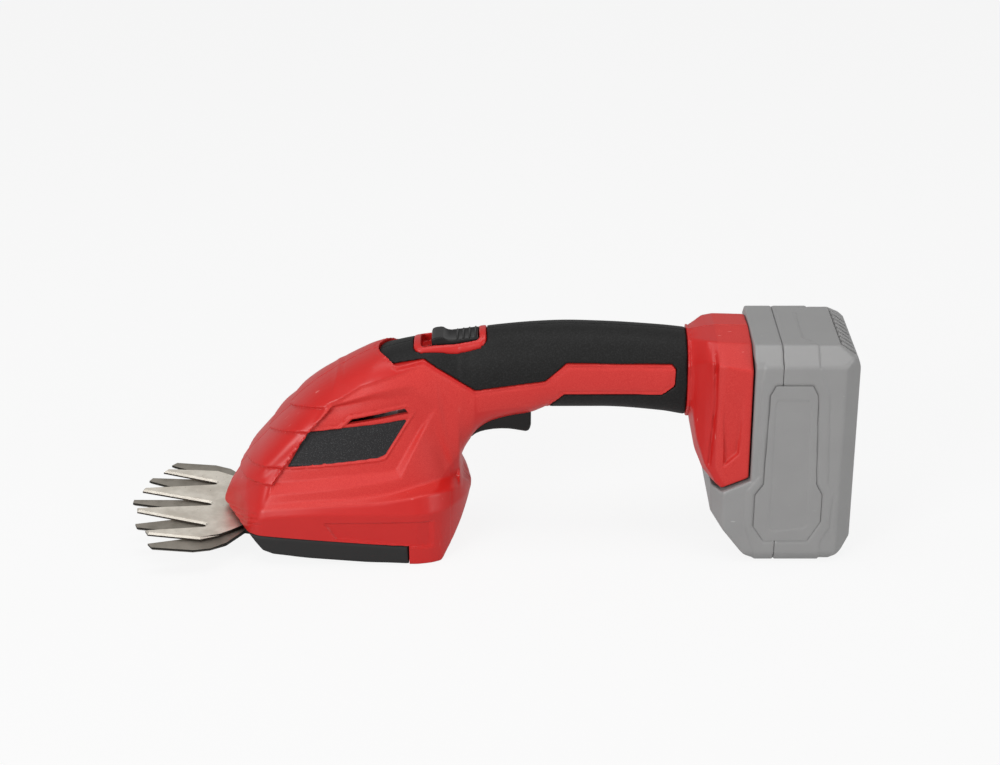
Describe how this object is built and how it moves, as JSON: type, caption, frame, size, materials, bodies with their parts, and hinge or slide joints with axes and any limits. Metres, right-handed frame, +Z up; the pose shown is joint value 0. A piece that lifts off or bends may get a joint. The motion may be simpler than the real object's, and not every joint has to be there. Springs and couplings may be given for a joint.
{
  "type": "cordless shrub shears",
  "caption": "Handheld cordless grass and shrub trimmer: domed head with two toothed reciprocating blades, arched handle with trigger, slide-on battery pack.",
  "frame": {"origin": "middle of the overall box, on the ground that the heel and the battery stand on", "axes": "+X towards the battery, blades point to -X, +Z up, the symmetry plane of the housing is Y = 0"},
  "size_m": [0.3857, 0.1004, 0.1223],
  "materials": {
    "red_plastic": "moulded, satin",
    "black_rubber": "soft overmould, matte",
    "black_plastic": "moulded, matte",
    "grey_plastic": "moulded, matte",
    "ground_steel": "ground",
    "zinc_steel": "zinc plated",
    "brass": "plain",
    "copper_winding": "enamelled copper over laminations",
    "white_nylon": "moulded",
    "cell_sleeve": "shrink sleeve over a steel can",
    "red_wire": "insulation",
    "black_wire": "insulation"
  },
  "bodies": {
    "tool": {"base_cover": "black_plastic", "battery_wire_minus": "black_wire", "battery_wire_plus": "red_wire", "blade_screw_left": "zinc_steel", "blade_screw_right": "zinc_steel", "contact_block": "black_plastic", "contact_minus": "brass", "contact_plus": "brass", "contact_sense": "brass", "crank_bearing": "brass", "fixed_blade": "ground_steel", "gear_base": "zinc_steel", "gear_case": "zinc_steel", "grip_left": "black_rubber", "grip_right": "black_rubber", "housing_left": "red_plastic", "housing_right": "red_plastic", "housing_screw_1": "zinc_steel", "housing_screw_2": "zinc_steel", "housing_screw_3": "zinc_steel", "housing_screw_4": "zinc_steel", "housing_screw_5": "zinc_steel", "housing_screw_6": "zinc_steel", "idler_axle": "zinc_steel", "motor_can": "zinc_steel", "motor_end_cap": "black_plastic", "motor_wire_minus": "black_wire", "motor_wire_plus": "red_wire", "pivot_bolt": "zinc_steel", "pivot_nut": "zinc_steel", "slider_bezel": "red_plastic", "slider_spring": "zinc_steel", "switch_body": "black_plastic", "trigger_pin": "zinc_steel", "trigger_spring": "zinc_steel"},
    "swinging_blade": {"moving_blade": "ground_steel"},
    "drive": {"drive_gear": "white_nylon", "crank_shaft": "zinc_steel"},
    "idler": {"idler_gear": "zinc_steel"},
    "rotor": {"motor_rotor": "copper_winding", "motor_pinion": "brass"},
    "trigger_lever": {"trigger": "black_plastic"},
    "thumb_slider": {"lock_off_slider": "black_plastic"},
    "battery": {"battery_front_case": "grey_plastic", "battery_rear_case": "grey_plastic", "cell_holder": "black_plastic", "button_spring": "zinc_steel", "cell_1": "cell_sleeve", "cell_2": "cell_sleeve", "cell_3": "cell_sleeve", "cell_4": "cell_sleeve", "cell_5": "cell_sleeve", "cell_6": "cell_sleeve", "cell_7": "cell_sleeve", "cell_8": "cell_sleeve", "cell_9": "cell_sleeve", "cell_10": "cell_sleeve"},
    "latch_button": {"battery_button": "grey_plastic"}
  },
  "joints": [
    {"name": "drive_spin", "type": "hinge", "parent": "tool", "child": "drive", "pos_m": [-0.08968, 0, 0.02188], "axis": [0.0732, 0, 0.9973], "continuous": true},
    {"name": "idler_spin", "type": "hinge", "parent": "tool", "child": "idler", "pos_m": [-0.06672, 0.013, 0.0232], "axis": [0.0732, 0, 0.9973], "continuous": true},
    {"name": "rotor_spin", "type": "hinge", "parent": "tool", "child": "rotor", "pos_m": [-0.04974, 0, 0.04702], "axis": [0.0732, 0, 0.9973], "continuous": true},
    {"name": "blade_swing", "type": "hinge", "parent": "tool", "child": "swinging_blade", "pos_m": [-0.10645, 0, 0.01208], "axis": [0.0732, 0, 0.9973], "range_deg": [-9, 9]},
    {"name": "trigger_pull", "type": "hinge", "parent": "tool", "child": "trigger_lever", "pos_m": [-0.00571, 0, 0.074], "axis": [0, -1, 0], "range_deg": [0, 8], "stiffness_Nm_per_rad": 0.6, "springref_deg": -8.59},
    {"name": "lock_off_slide", "type": "slide", "parent": "tool", "child": "thumb_slider", "axis": [-0.9888, 0, -0.1495], "range_m": [0, 0.0055], "stiffness_N_per_m": 300, "springref_m": -0.003, "deforming": ["slider_spring"]},
    {"name": "battery_slide", "type": "slide", "parent": "tool", "child": "battery", "axis": [0, 0, -1], "range_m": [0, 0.07]},
    {"name": "latch_press", "type": "slide", "parent": "battery", "child": "latch_button", "axis": [-0.5836, 0, -0.812], "range_m": [0, 0.002], "stiffness_N_per_m": 1500, "springref_m": -0.001, "deforming": ["button_spring"]}
  ],
  "couplings": [
    {"joint": "idler_spin", "follows": "drive_spin", "ratio": -3.2},
    {"joint": "rotor_spin", "follows": "drive_spin", "ratio": 9.6}
  ]
}
